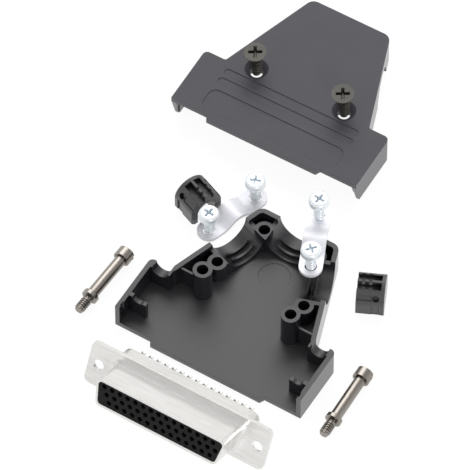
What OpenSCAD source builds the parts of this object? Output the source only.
// Two-part hood kit for a 25-way size sub-miniature connector, laid out before assembly.
// All pieces share one frame: X across the hood, Y from the connector to the rear cable exit,
// Z up from the surface that everything lies on. The origin is the middle of the base's underside.
// With assembled = true the same pieces are drawn in their seats.

/* [Layout] */
// Draw the pieces in their seats instead of laid out
assembled = false; // [false, true]

/* [Hood shells] */
// Width across the two ears
hood_w = 55.2; // [54.8:0.2:60]
// Depth from the front edge to the rear wall
hood_d = 45.6; // [44.6:0.2:52]
// Depth of the wide front part
ear_d = 17.4; // [16.8:0.2:18.6]
// Width where the slanted walls leave the ears
neck_w = 43; // [42:0.5:44]
// Width of the rear wall before its corners are rounded
tail_w = 23.4; // [22.6:0.2:26]
// Thickness of the upright walls
wall_t = 1.3; // [1:0.1:1.6]
// Thickness of the base's floor and the cover's top
floor_t = 1.6; // [1.3:0.1:1.9]
// Height of the base, up to the parting plane
base_h = 8.3; // [8:0.1:9]
// Height of the cover, down to the parting plane
cover_h = 8.5; // [8.2:0.1:9.5]
// Radius of the two rear corners
tail_r = 2.5; // [1.5:0.1:3]
// Radius of the ears' rear corners
ear_r = 1.4; // [0.5:0.1:2]
// Width of the tongue at the front edge
tongue_w = 34; // [28:0.5:40]
// How far the tongue stands forward
tongue_d = 1.4; // [0.8:0.1:2]

/* [Cable exits] */
// Diameter of each of the three round cable exits
exit_d = 12; // [11.9:0.1:12.4]
// Length of the cradle behind each exit
cradle_len = 7.5; // [6.5:0.1:8.5]
// Thickness of the two ribs in each cradle
rib_t = 0.6; // [0.4:0.1:1]
// Distance between the two ribs of a cradle
rib_pitch = 2.1; // [1.6:0.1:2.6]
// Distance of the strap posts from the rear wall
post_inset = 5; // [4.4:0.1:5.6]
// Diameter of the strap posts
strap_post_d = 5.2; // [4.8:0.1:5.6]
// How far the strap posts stay below the parting plane
post_drop = 1.2; // [0.8:0.1:1.6]

/* [Cable straps] */
// Distance between a strap's two holes
strap_pitch = 15.6; // [15.4:0.1:16.4]
// Width of a strap
strap_w = 6.2; // [5.4:0.1:6.6]
// Thickness of a strap
strap_t = 0.9; // [0.6:0.1:1.2]
// How far a strap arches up between its ends
strap_rise = 1.9; // [1:0.1:2.4]

/* [Screws] */
// Diameter over the thread of the strap and cover screws
screw_d = 2.9; // [2.6:0.1:3]
// Length of a strap screw under its head
strap_screw_len = 6.9; // [6:0.1:7]
// Diameter of a strap screw's pan head
pan_d = 5.4; // [5:0.1:5.8]
// Height of a strap screw's pan head
pan_h = 1.9; // [1.5:0.1:2.2]
// Length of a cover screw over all
cover_screw_len = 9.2; // [9:0.1:12]
// Diameter of a cover screw's countersunk head
sink_d = 6.1; // [5.6:0.1:6.3]
// Distance of the cover screws from the hood's middle
cover_screw_x = 13.1; // [12.6:0.1:13.4]
// Distance of the cover screws from the hood's front edge
cover_screw_y = 19; // [18:0.1:19.6]
// Diameter of the base's cover screw posts
cover_post_d = 5.1; // [4.8:0.1:5.4]
// How far the cover screw posts stand above the parting plane
cover_post_rise = 3.7; // [2:0.1:4]

/* [Jackscrews] */
// Diameter of a jackscrew's thread
jack_thread_d = 2.84; // [2.5:0.02:2.9]
// Length of the thread in front of the collar
jack_thread_len = 4.8; // [4:0.1:6]
// Diameter of the plain shank
jack_shank_d = 3.1; // [2.9:0.1:3.3]
// Length over all
jack_len = 21.7; // [20.6:0.1:23]
// Diameter of the head
jack_head_d = 4.6; // [4.2:0.1:4.8]
// Length of the head
jack_head_len = 2.7; // [2:0.1:3.2]
// Diameter of the collar that keeps the screw in the hood
jack_collar_d = 4.4; // [4:0.1:4.6]
// Thickness of the collar
jack_collar_t = 1.1; // [0.8:0.1:1.6]

/* [Blanking plugs] */
// Width of a plug over its legs
plug_w = 9.4; // [9:0.1:9.6]
// Height of a plug
plug_h = 9.2; // [8.6:0.1:9.4]
// Length of a plug along the exit
plug_len = 7.3; // [6.4:0.1:7.4]
// Thickness of a plug's legs
plug_leg_t = 2; // [1.5:0.1:2.3]
// Thickness of the plate that closes the exit
plug_plate_t = 1; // [0.8:0.1:1.4]

/* [Connector] */
// Width of the flange
flange_w = 53; // [52.6:0.1:53.2]
// Height of the flange
flange_h = 12.5; // [12.2:0.1:12.8]
// Distance between the flange's two holes
flange_pitch = 47; // [46.8:0.1:47.2]
// Diameter of the flange holes
flange_hole_d = 3.1; // [3:0.05:3.2]
// Thickness of each of the two flange plates
plate_t = 0.6; // [0.4:0.05:0.7]
// Thickness of the shells' drawn walls
shell_t = 0.4; // [0.3:0.05:0.5]
// Width of the front shell at its wide side
d_w = 38.3; // [38:0.1:39]
// Height of the front shell
d_h = 7.9; // [7.7:0.1:8.2]
// How far the front shell stands out of the flange
d_len = 10; // [8:0.1:10.4]
// Width of the rear shell at its wide side
rear_w = 41.4; // [41:0.1:42]
// Height of the rear shell
rear_h = 9.8; // [9.6:0.1:10]
// Depth of the rear shell, from the rear face of the front plate
rear_len = 5.6; // [5:0.1:6.2]
// Spacing of the contacts along a row
contact_pitch = 2.29; // [2.2:0.01:2.3]
// Spacing of the three rows of contacts
row_pitch = 1.98; // [1.9:0.02:2]
// Diameter of a contact's socket barrel
barrel_d = 0.9; // [0.8:0.05:1]
// Diameter of a contact's solder cup
cup_d = 1.24; // [1.1:0.02:1.3]
// How far the solder cups stand out behind the flange
cup_reach = 10; // [9:0.1:10.4]

/* [Hidden] */

$fn = 48;
eps = 0.01;              // overlap of parts of one solid, and overshoot of cuts
fit_gap = 0.1;           // clearance of a piece in its seat
thread_gap = 0.05;       // clearance round a thread
arc_steps = 8;           // straight steps in a rounded plan corner

// Colours
plastic_grey = [0.36, 0.36, 0.38];
zinc = [0.88, 0.88, 0.92];
bronze_grey = [0.35, 0.34, 0.3];
nickel = [0.6, 0.56, 0.52];
black_plastic = [0.08, 0.08, 0.09];
bright_tin = [0.87, 0.87, 0.85];
gold = [0.8, 0.76, 0.62];

// Hood plan: how far the slanted walls run inwards for each millimetre of depth
neck_r = 0.8;
inward_run = (neck_w - tail_w) / 2 / (hood_d - ear_d);
wall_lean = atan(inward_run);
hood_h = base_h + cover_h;

// Cable exits: posts and axes. The strap's pitch sets the posts, so one strap fits each exit.
exit_r = exit_d / 2;
post_top = base_h - post_drop;
corner_post = [strap_pitch / 2, hood_d - post_inset];
along_wall = [-sin(wall_lean), cos(wall_lean)];
side_post = corner_post - strap_pitch * along_wall;
side_axis = (corner_post + side_post) / 2;
side_inset = (neck_w / 2 - side_axis[0]) * cos(wall_lean) + (ear_d - side_axis[1]) * sin(wall_lean);
cradle_wall = 1;
collar_len = 2;
rib_half_angle = 42;
rib_first = 3.8;

// Cover screws
screw_bore_d = screw_d + 2 * thread_gap;
cover_post_top = base_h + cover_post_rise;
screw_tip = 0.35;
sink_rim = 0.1;
sink_depth = (sink_d - screw_d) / 2;
bore_floor = 0.5;
cover_hole_d = screw_d + 0.5;
cover_tube_bore = cover_post_d + 2 * fit_gap;
cover_tube_wall = 0.7;
tube_overlap = 0.6;      // how far a base post enters the cover's tube

// Connector in the hood
flange_y = 0.9;
slot_y = flange_y - fit_gap;
jack_x = flange_pitch / 2;
insulator_flange_t = 1;
lip_t = 0.4;
front_lip_t = 0.2;
front_lip_in = 0.3;
lead_in_d = 1.4;
d_slant = 10;
row_z = [row_pitch, 0, -row_pitch];
row_count = [15, 15, 14];
row_shift = [-0.25, 0.25, 0.25];
cup_end = 2 * plate_t + cup_reach;

// The connector leans back on the ends of its lowest solder cups and its rear shell's lower edge
shell_back = plate_t + rear_len;
connector_lean = atan((rear_h / 2 - row_pitch - cup_d / 2) / (cup_end - shell_back));
connector_drop = rear_h / 2 * cos(connector_lean) + shell_back * sin(connector_lean);

// Jackscrew in the hood: the collar sits between the flange and the front saddle
collar_y = flange_y + 2 * plate_t + fit_gap;
saddle_y = collar_y + jack_collar_t + 1.4;
saddle_t = 1.2;
saddle_r = jack_shank_d / 2 + 2 * fit_gap;
head_notch_r = jack_head_d / 2 + fit_gap / 2;
head_notch_len = 2.4;

// Where each piece lies in the layout: [position, turn], in the base's front-edge frame
cover_turn = 1.05;
cover_place = [[-21.9, hood_d + 17.6, 0], [0, 0, cover_turn]];
left_strap_place = [[-tail_w / 2 - 8, hood_d - 1.4, 0], [0, 0, 71.5]];
right_strap_place = [[corner_post[0] - 2.5, hood_d - 1.7, post_top], [0, 0, 113.3]];
left_plug_place = [[-tail_w / 2 - 13.4, hood_d - 5.3, 0], [0, 0, 68]];
right_plug_place = [[tail_w / 2 + 9.5, hood_d - 7, 0], [0, 0, -65.5]];
jack_rest_tilt = asin((jack_head_d - jack_collar_d) / 2
    / (jack_len - jack_thread_len - jack_collar_t - jack_head_len));
left_jack_place = [[-hood_w / 2 - 9.2, 2.2, jack_collar_d / 2], [jack_rest_tilt, 0, -3.2]];
right_jack_place = [[hood_w / 2 + 8, 2.5, jack_collar_d / 2], [jack_rest_tilt, 0, 1.3]];
connector_place = [[1.4, -16.8, connector_drop], [-connector_lean, 0, 0]];

// Where each piece sits in the hood
cover_seat = [[0, 0, base_h], [0, 0, 0]];
// Both straps clamp a cable in the right exit, the left one turned over below it
lower_strap_seat = [[side_axis[0], side_axis[1], post_top + strap_t], [180, 0, 90 + wall_lean]];
upper_strap_seat = [[side_axis[0], side_axis[1], post_top + strap_t], [0, 0, 90 + wall_lean]];
spare_screw_seat = [[-side_axis[0], side_axis[1], 0], [0, 0, 90 - wall_lean]];
strap_screw_seat = [[side_axis[0], side_axis[1], 0], [0, 0, 90 + wall_lean]];
left_plug_seat = [[-side_axis[0] - (side_inset - plug_len) * cos(wall_lean),
    side_axis[1] + (side_inset - plug_len) * sin(wall_lean), base_h - plug_w / 2 + plug_h],
    [0, 180, 90 - wall_lean]];
right_plug_seat = [[0, hood_d - plug_len, base_h - plug_w / 2 + plug_h], [0, 180, 0]];
connector_seat = [[0, flange_y, base_h], [0, 0, 0]];
left_jack_seat = [[-jack_x, collar_y, base_h], [0, 0, 0]];
right_jack_seat = [[jack_x, collar_y, base_h], [0, 0, 0]];

// ---------- Outlines ----------

function unit(v) = v / norm(v);

// Point v turned about Z
function turned(v, angle) =
    [v[0] * cos(angle) - v[1] * sin(angle), v[0] * sin(angle) + v[1] * cos(angle), v[2]];

// Points of the arc of radius r that rounds corner b between its neighbours a and c
function corner_arc(a, b, c, r) =
    let (u = unit(a - b), w = unit(c - b), half = acos(u * w) / 2,
        start = b + u * r / tan(half), end = b + w * r / tan(half),
        centre = b + unit(u + w) * r / sin(half),
        from = atan2(start[1] - centre[1], start[0] - centre[0]),
        to = atan2(end[1] - centre[1], end[0] - centre[0]),
        sweep = (to - from + 540) % 360 - 180)
    [for (i = [0 : arc_steps])
        centre + r * [cos(from + sweep * i / arc_steps), sin(from + sweep * i / arc_steps)]];

// Closed outline through corners [x, y, radius]
function rounded(corners) =
    let (n = len(corners), at = [for (p = corners) [p[0], p[1]]])
    [for (i = [0 : n - 1]) each corners[i][2] > 0
        ? corner_arc(at[(i + n - 1) % n], at[i], at[(i + 1) % n], corners[i][2])
        : [at[i]]];

// Both halves of an outline that is given for positive X, from the front to the rear
function both_halves(half) =
    concat(half, [for (i = [len(half) - 1 : -1 : 0]) [-half[i][0], half[i][1], half[i][2]]]);

// X of the slanted wall's face at depth y, for a face that lies inset inside the outer one
function slanted_x(y, inset) =
    neck_w / 2 - inward_run * (y - ear_d) - inset / cos(wall_lean);

// Plan of the hood, or of a face that lies inset inside it, starting at depth front
function hood_plan(inset, front) = rounded(both_halves([
    [hood_w / 2 - inset, front, 0],
    [hood_w / 2 - inset, ear_d - inset, max(ear_r - inset, 0.2)],
    [slanted_x(ear_d - inset, inset), ear_d - inset, neck_r + inset],
    [slanted_x(hood_d - inset, inset), hood_d - inset, max(tail_r - inset, 0.4)]]));

function box_outline(w, h, r) = rounded([[w / 2, -h / 2, r], [w / 2, h / 2, r],
    [-w / 2, h / 2, r], [-w / 2, -h / 2, r]]);

// D outline, wide side up
function d_outline(w, h, r) =
    let (narrow = w / 2 - h * tan(d_slant))
    rounded([[narrow, -h / 2, r], [w / 2, h / 2, r], [-w / 2, h / 2, r], [-narrow, -h / 2, r]]);

// ---------- Helpers ----------

module placed(kit, seat) {
    at = assembled ? seat : kit;
    translate([0, -hood_d / 2, 0]) translate(at[0]) rotate(at[1]) children();
}

module both_sides() {
    children();
    mirror([1, 0, 0]) children();
}

// Extrudes a flat outline in X and Z forwards, from y = from to y = from - length
module extrude_forward(length, from = 0, narrowing = 1) {
    translate([0, from, 0]) rotate([90, 0, 0])
        linear_extrude(length, scale = narrowing, slices = 1) children();
}

module rod(d, from, to) {
    translate([0, from, 0]) rotate([-90, 0, 0]) cylinder(d = d, h = to - from);
}

// Puts its children at each cable exit, with Y pointing out of the hood along the exit's axis
module at_each_exit() {
    translate([0, corner_post[1], 0]) { $inset = post_inset; children(); }
    both_sides() translate([side_axis[0], side_axis[1], 0]) rotate([0, 0, wall_lean - 90]) {
        $inset = side_inset;
        children();
    }
}

// Cross recess of a screw, cut down from z = 0
module cross_recess(width, depth) {
    arm = width * 0.24;
    translate([0, 0, -depth]) linear_extrude(depth + eps, scale = 1.6, slices = 1) {
        square([width / 1.6, arm / 1.6], center = true);
        square([arm / 1.6, width / 1.6], center = true);
    }
}

// ---------- Hood ----------

// Open shell with its floor at the bottom: plan, walls, tongue and the slots for the flange
module shell(height) {
    difference() {
        union() {
            linear_extrude(height) polygon(hood_plan(0, 0));
            linear_extrude(floor_t) polygon([[-tongue_w / 2, eps], [-tongue_w / 2 + 0.7, -tongue_d],
                [tongue_w / 2 - 0.7, -tongue_d], [tongue_w / 2, eps]]);
        }
        translate([0, 0, floor_t]) linear_extrude(height) polygon(hood_plan(wall_t, -2 * tongue_d));
        translate([-flange_w / 2 - fit_gap, slot_y, floor_t])
            cube([flange_w + 2 * fit_gap, 2 * plate_t + 2 * fit_gap, height]);
    }
}

// Saddles that carry a jackscrew: one under the shank, one round the head in the ear's rear wall
module jack_saddles(height) {
    inner = jack_x - saddle_r - 0.4;
    both_sides() {
        intersection() {
            linear_extrude(height) polygon(hood_plan(wall_t / 2, 0));
            union() {
                translate([inner, saddle_y, floor_t - eps])
                    cube([jack_x - inner, saddle_t, height - floor_t - 1.3]);
                translate([jack_x, saddle_y, floor_t - eps])
                    cube([hood_w / 2 - jack_x, saddle_t, height - floor_t]);
                translate([jack_x - head_notch_r - 0.6, ear_d - head_notch_len, floor_t - eps])
                    cube([hood_w / 2 - jack_x + head_notch_r, head_notch_len, height - floor_t]);
            }
        }
    }
}

module jack_cuts(height) {
    both_sides() translate([jack_x, 0, height]) {
        rod(2 * saddle_r, saddle_y - 1, saddle_y + saddle_t + 1);
        rod(2 * head_notch_r, ear_d - head_notch_len - 1, ear_d + 1);
    }
}

module exit_cuts(height) {
    at_each_exit() translate([0, 0, height])
        rod(exit_d, $inset - cradle_len - 2, $inset + 2);
}

// Two arcs at the bottom of each cradle, on which a blanking plug or a cable lies
module cradle_ribs(height) {
    outer = exit_r + 0.3;
    inner = plug_w / 2 + thread_gap;
    reach = outer * tan(rib_half_angle);
    at_each_exit() for (i = [0, 1])
        translate([0, $inset - rib_first - i * rib_pitch + rib_t / 2, height])
            intersection() {
                rotate([90, 0, 0]) difference() {
                    cylinder(r = outer, h = rib_t);
                    translate([0, 0, -1]) cylinder(r = inner, h = rib_t + 2);
                }
                extrude_forward(rib_t) polygon([[0, 0], [reach, -outer], [-reach, -outer]]);
            }
}

module hood_base() color(plastic_grey) placed([[0, 0, 0], [0, 0, 0]], [[0, 0, 0], [0, 0, 0]]) {
    difference() {
        union() {
            shell(base_h);
            jack_saddles(base_h);
            // Cradle blocks, kept inside the walls
            intersection() {
                linear_extrude(base_h) polygon(hood_plan(wall_t / 2, 0));
                at_each_exit() translate([-exit_r - cradle_wall, $inset - cradle_len, floor_t - eps])
                    cube([exit_d + 2 * cradle_wall, cradle_len, post_top - floor_t]);
            }
            both_sides() for (at = [corner_post, side_post])
                translate([at[0], at[1], floor_t - eps])
                    cylinder(d = strap_post_d, h = post_top - floor_t + eps);
            both_sides() translate([cover_screw_x, cover_screw_y, floor_t - eps]) {
                cylinder(d = cover_post_d, h = cover_post_top - floor_t + eps);
                // Rib to the slanted wall
                translate([0, -rib_t / 2, 0])
                    cube([slanted_x(cover_screw_y, wall_t / 2) - cover_screw_x, rib_t,
                        base_h - floor_t - 0.4]);
            }
        }
        exit_cuts(base_h);
        jack_cuts(base_h);
        both_sides() for (at = [corner_post, side_post])
            translate([at[0], at[1], bore_floor]) cylinder(d = screw_bore_d, h = base_h);
        both_sides() translate([cover_screw_x, cover_screw_y, bore_floor])
            cylinder(d = screw_bore_d, h = hood_h);
        // Ejector mark
        translate([0, side_axis[1] - 0.6, floor_t - 0.12]) cylinder(r = 4.2, h = 1);
    }
    cradle_ribs(base_h);
}

// The cover is drawn top up, with the parting plane at z = 0
module hood_cover() color(plastic_grey) placed(cover_place, cover_seat) {
    groove = 0.2;
    front_slope = 1.9;
    face_w = 40;
    translate([0, 0, cover_h]) mirror([0, 0, 1]) difference() {
        union() {
            shell(cover_h);
            jack_saddles(cover_h);
            intersection() {
                linear_extrude(cover_h) polygon(hood_plan(wall_t / 2, 0));
                at_each_exit() translate([-exit_r - cradle_wall, $inset - collar_len, floor_t - eps])
                    cube([exit_d + 2 * cradle_wall, collar_len, cover_h - floor_t]);
            }
            both_sides() translate([cover_screw_x, cover_screw_y, floor_t - eps])
                cylinder(d = cover_tube_bore + 2 * cover_tube_wall,
                    h = cover_h - cover_post_rise - floor_t + tube_overlap);
        }
        exit_cuts(cover_h);
        jack_cuts(cover_h);
        // Countersunk screw holes, and the tubes below them that take the base's posts
        both_sides() translate([cover_screw_x, cover_screw_y, 0]) {
            translate([0, 0, -1]) cylinder(d = cover_hole_d, h = cover_h + 1);
            translate([0, 0, -1]) cylinder(d = sink_d + 2 * fit_gap, h = 1 + sink_rim);
            translate([0, 0, sink_rim - eps]) cylinder(d1 = sink_d + 2 * fit_gap,
                d2 = screw_d + 2 * fit_gap, h = sink_depth);
            translate([0, 0, floor_t]) cylinder(d = cover_tube_bore, h = cover_h);
        }
        // The front ends of the side walls slope back from the top
        rotate([90, 0, 90]) linear_extrude(2 * hood_w, center = true) polygon([[-1, floor_t],
            [0, floor_t], [front_slope, cover_h], [front_slope, cover_h + 1], [-1, cover_h + 1]]);
        // Two shallow grip grooves and a label recess in the outer face
        for (y = [11.2, 14.3]) translate([0, y, -1])
            linear_extrude(1 + groove) polygon(box_outline(face_w, 2.1, 1));
        translate([0, 4.8, -1]) linear_extrude(1 + groove) polygon(box_outline(face_w, 6.9, 2.2));
    }
}

// ---------- Straps and screws ----------

// Height of a strap's underside at distance x from its middle
function strap_z(x) =
    let (span = strap_pitch / 2 - 2.6) abs(x) < span ? strap_rise * pow(cos(90 * x / span), 2) : 0;

module cable_strap() {
    reach = strap_pitch / 2 + strap_w / 2;
    steps = 48;
    under = [for (i = [0 : steps]) let (x = reach * (2 * i / steps - 1)) [x, strap_z(x)]];
    upper = [for (i = [steps : -1 : 0]) [under[i][0], under[i][1] + strap_t]];
    difference() {
        intersection() {
            extrude_forward(strap_w, strap_w / 2) polygon(concat(under, upper));
            linear_extrude(strap_rise + 2 * strap_t)
                polygon(box_outline(2 * reach, strap_w, strap_w / 2 - 0.05));
        }
        for (x = [-1, 1]) translate([x * strap_pitch / 2, 0, -1])
            cylinder(d = screw_d + 3 * fit_gap, h = strap_t + 2);
    }
}

// Pan head screw, tip down at z = 0
module strap_screw() {
    top = strap_screw_len + pan_h;
    dome = pan_h * 0.45;
    difference() {
        rotate_extrude() polygon(concat(
            [[0, 0], [screw_d / 2 - screw_tip, 0], [screw_d / 2, screw_tip],
                [screw_d / 2, strap_screw_len],
                [pan_d / 2, strap_screw_len]],
            [for (a = [0 : 15 : 90])
                [pan_d / 2 - dome + dome * cos(a), top - dome + dome * sin(a)]],
            [[0, top]]));
        translate([0, 0, top]) cross_recess(3.1, 1.3);
    }
}

// Countersunk screw, tip down at z = 0
module cover_screw() {
    difference() {
        rotate_extrude() polygon([[0, 0], [screw_d / 2 - screw_tip, 0], [screw_d / 2, screw_tip],
            [screw_d / 2, cover_screw_len - sink_depth - sink_rim],
            [sink_d / 2, cover_screw_len - sink_rim],
            [sink_d / 2, cover_screw_len], [0, cover_screw_len]]);
        translate([0, 0, cover_screw_len]) cross_recess(3.7, 1.4);
    }
}

// Jackscrew along Y with its thread forwards; y = 0 is the front face of the collar
module jackscrew() {
    neck_d = jack_thread_d - 0.7;
    neck_len = 0.6;
    end = jack_len - jack_thread_len;
    difference() {
        union() {
            rotate([90, 0, 0]) rotate_extrude() polygon([[0, -eps], [neck_d / 2, -eps],
                [neck_d / 2, neck_len], [jack_thread_d / 2, neck_len],
                [jack_thread_d / 2, jack_thread_len - 0.4],
                [jack_thread_d / 2 - 0.4, jack_thread_len], [0, jack_thread_len]]);
            rod(jack_collar_d, 0, jack_collar_t);
            rod(jack_shank_d, jack_collar_t - eps, end - jack_head_len + eps);
            rod(jack_head_d, end - jack_head_len, end);
        }
        // Screwdriver slot
        translate([-jack_head_d, end - 1.1, -0.4]) cube([2 * jack_head_d, 2, 0.8]);
    }
}

// ---------- Blanking plug ----------

// Arch that fills one cable exit, standing on its legs; y = 0 is its open end
module blanking_plug() {
    crown_r = plug_w / 2;
    crown_z = plug_h - crown_r;
    channel_r = crown_r - plug_leg_t;
    slot_w = 2;
    slot_rib = 0.7;
    slot_depth = 1.9;
    notch_w = 2 * slot_w + slot_rib + 0.6;
    pocket_y = plug_len - plug_plate_t - 1.2;
    inner_len = plug_len - plug_plate_t;
    // The feet are chamfered to stay inside the round exit
    exit_fit = exit_r - fit_gap;
    foot_x = sqrt(pow(exit_fit, 2) - pow(crown_z, 2));
    foot_z = crown_z - sqrt(pow(exit_fit, 2) - pow(crown_r, 2));
    difference() {
        extrude_forward(plug_len, plug_len) {
            polygon([[-foot_x, 0], [foot_x, 0], [crown_r, foot_z], [crown_r, crown_z],
                [-crown_r, crown_z], [-crown_r, foot_z]]);
            translate([0, crown_z]) circle(crown_r);
        }
        // Channel between the legs
        translate([0, inner_len, 0]) extrude_forward(inner_len + 1) {
            translate([-channel_r, -1]) square([2 * channel_r, crown_z]);
            translate([0, crown_z - 1]) circle(channel_r);
        }
        // Two slots along the crown, and the gaps in the rib between them
        for (side = [-1, 1])
            translate([side * (slot_w + slot_rib) / 2 - slot_w / 2, -1, plug_h - slot_depth])
                cube([slot_w, inner_len + 1, slot_depth + 1]);
        for (y = [inner_len * 0.24, inner_len * 0.54])
            translate([-notch_w / 2, y - 0.45, plug_h - 1.35]) cube([notch_w, 0.9, 2]);
        // Shoulder grooves with a round pocket at their end, and shallow recesses in the legs
        both_sides() {
            translate([0, 0, crown_z]) rotate([0, 58, 0]) {
                translate([-0.75, -1, crown_r - 0.3]) cube([1.5, pocket_y, 1]);
                translate([0, pocket_y, crown_r - 0.9]) cylinder(r = 0.9, h = 2);
            }
            translate([crown_r - 0.35, pocket_y - 1.1, -1]) cube([1, 2.1, crown_z + 1.6]);
        }
    }
}

// ---------- Connector: y = 0 is the front face of the flange, forwards is -Y ----------

module flange_plate(from) {
    difference() {
        extrude_forward(plate_t, from + plate_t) polygon(box_outline(flange_w, flange_h, 1.6));
        for (x = [-1, 1]) translate([x * jack_x, 0, 0]) rod(flange_hole_d, from - 1, from + plate_t + 1);
    }
}

module front_shell_shape() {
    flare = 0.9;
    flare_len = 1.1;
    wide = [d_w + 2 * flare, d_h + 2 * flare];
    mouth = [d_w, d_h] - 2 * (shell_t + front_lip_in) * [1, 1];
    difference() {
        union() {
            flange_plate(0);
            extrude_forward(d_len, eps) polygon(d_outline(d_w, d_h, 1.7));
            extrude_forward(flare_len, eps, [d_w / wide[0], d_h / wide[1]])
                polygon(d_outline(wide[0], wide[1], 2.2));
        }
        extrude_forward(d_len - front_lip_t + 1, 1)
            polygon(d_outline(d_w - 2 * shell_t, d_h - 2 * shell_t, 1.3));
        extrude_forward(d_len + 2, 1) polygon(d_outline(mouth[0], mouth[1], 1));
    }
}

module rear_shell_shape() {
    inner = [rear_w - 2 * shell_t, rear_h - 2 * shell_t];
    difference() {
        union() {
            flange_plate(plate_t);
            extrude_forward(rear_len - eps, shell_back) polygon(d_outline(rear_w, rear_h, 2.6));
        }
        extrude_forward(rear_len + 1, shell_back - lip_t) polygon(d_outline(inner[0], inner[1], 2.2));
        extrude_forward(rear_len, shell_back + 1) polygon(d_outline(inner[0] - 1.6, inner[1] - 1.6, 1.4));
    }
}

// Centres of the contacts of one row
function contact_x(row) = [for (i = [0 : row_count[row] - 1])
    (i - (row_count[row] - 1) / 2 + row_shift[row]) * contact_pitch];

module at_contacts() {
    for (row = [0 : 2], x = contact_x(row)) translate([x, 0, row_z[row]]) children();
}

module front_insulator_shape() {
    gap = shell_t + thread_gap;
    rear_gap = 2 * gap;
    face = d_len - front_lip_t - thread_gap;
    difference() {
        union() {
            extrude_forward(face + plate_t + eps, plate_t + eps)
                polygon(d_outline(d_w - 2 * gap, d_h - 2 * gap, 1.25));
            extrude_forward(insulator_flange_t, plate_t + insulator_flange_t)
                polygon(d_outline(rear_w - rear_gap, rear_h - rear_gap, 2.15));
        }
        at_contacts() {
            rod(barrel_d + 2 * thread_gap, -face - 1, plate_t + insulator_flange_t + 1);
            // Lead-in
            translate([0, -face - eps, 0]) rotate([-90, 0, 0])
                cylinder(d1 = lead_in_d, d2 = barrel_d, h = 0.4);
        }
    }
}

module rear_insulator_shape() {
    from = plate_t + insulator_flange_t + thread_gap;
    to = shell_back - lip_t - thread_gap;
    rear_gap = 2 * (shell_t + thread_gap);
    neck_gap = rear_gap + 1.6;
    difference() {
        union() {
            extrude_forward(to - from, to)
                polygon(d_outline(rear_w - rear_gap, rear_h - rear_gap, 2.15));
            extrude_forward(lip_t + 1, to + lip_t + 1 - eps)
                polygon(d_outline(rear_w - neck_gap, rear_h - neck_gap, 1.35));
        }
        at_contacts() rod(cup_d + 2 * thread_gap, from - 1, to + lip_t + 3);
    }
}

// One row of socket contacts with solder cups
module contact_row_shape(row) {
    shoulder = plate_t + insulator_flange_t + thread_gap;
    for (x = contact_x(row)) translate([x, 0, row_z[row]]) difference() {
        union() {
            rod(barrel_d, -d_len + 1.2, shoulder + eps);
            rod(cup_d, shoulder, cup_end);
        }
        rod(barrel_d * 0.62, -d_len, -d_len + 7);
        // The cup is bored out and its upper half cut away
        rod(cup_d - 0.34, cup_end - 2.6, cup_end + 1);
        translate([-cup_d, cup_end - 2, 0.1]) cube([2 * cup_d, 3, cup_d]);
    }
}

module in_connector(colour) color(colour) placed(connector_place, connector_seat) children();

// ---------- Nodes ----------

screw_x = strap_pitch / 2;

// Laid out, a cover screw hangs in its hole by the thread and leans a little
module cover_screw_at(side) color(bronze_grey) placed(
    [cover_place[0] + turned([side * cover_screw_x, cover_screw_y, 0], cover_turn)
        + [-0.12, 0.2, cover_h - floor_t - screw_tip], [1.3, -2.1, 0]],
    [[side * cover_screw_x, cover_screw_y, hood_h - cover_screw_len], [0, 0, 0]])
    rotate([0, 0, cover_turn + 30]) cover_screw();

// In its seat a screw holds both straps, or waits in a free post
module strap_screw_at(kit, seat, end, turn) color(zinc) {
    under_head = post_top + (seat == strap_screw_seat ? 2 * strap_t : 0);
    lift = assembled ? max(under_head - strap_screw_len, bore_floor) : 0;
    placed(kit, seat) translate([end * screw_x, 0, lift]) rotate([0, 0, turn]) strap_screw();
}

// How far each strap screw is turned
strap_screw_turns = [10, 40, 25, 60];

module cover_screw_left() cover_screw_at(-1);
module cover_screw_right() cover_screw_at(1);
module cable_strap_left() color(zinc) placed(left_strap_place, lower_strap_seat) cable_strap();
module cable_strap_right() color(zinc) placed(right_strap_place, upper_strap_seat)
    cable_strap();
module blanking_plug_left() color(black_plastic) placed(left_plug_place, left_plug_seat)
    blanking_plug();
module blanking_plug_right() color(black_plastic) placed(right_plug_place, right_plug_seat)
    blanking_plug();
module jackscrew_left() color(nickel) placed(left_jack_place, left_jack_seat) jackscrew();
module jackscrew_right() color(nickel) placed(right_jack_place, right_jack_seat) jackscrew();

module strap_screw_left_front()
    strap_screw_at(left_strap_place, spare_screw_seat, -1, strap_screw_turns[0]);
module strap_screw_left_rear()
    strap_screw_at(left_strap_place, spare_screw_seat, 1, strap_screw_turns[1]);
module strap_screw_right_front()
    strap_screw_at(right_strap_place, strap_screw_seat, -1, strap_screw_turns[2]);
module strap_screw_right_rear()
    strap_screw_at(right_strap_place, strap_screw_seat, 1, strap_screw_turns[3]);
module connector_front_shell() in_connector(bright_tin) front_shell_shape();
module connector_rear_shell() in_connector(bright_tin) rear_shell_shape();
module connector_front_insulator() in_connector(black_plastic) front_insulator_shape();
module connector_rear_insulator() in_connector(black_plastic) rear_insulator_shape();
module contact_row_upper() in_connector(gold) contact_row_shape(0);
module contact_row_middle() in_connector(gold) contact_row_shape(1);
module contact_row_lower() in_connector(gold) contact_row_shape(2);

hood_base();
hood_cover();
cover_screw_left();
cover_screw_right();
cable_strap_left();
cable_strap_right();
strap_screw_left_front();
strap_screw_left_rear();
strap_screw_right_front();
strap_screw_right_rear();
blanking_plug_left();
blanking_plug_right();
jackscrew_left();
jackscrew_right();
connector_front_shell();
connector_rear_shell();
connector_front_insulator();
connector_rear_insulator();
contact_row_upper();
contact_row_middle();
contact_row_lower();
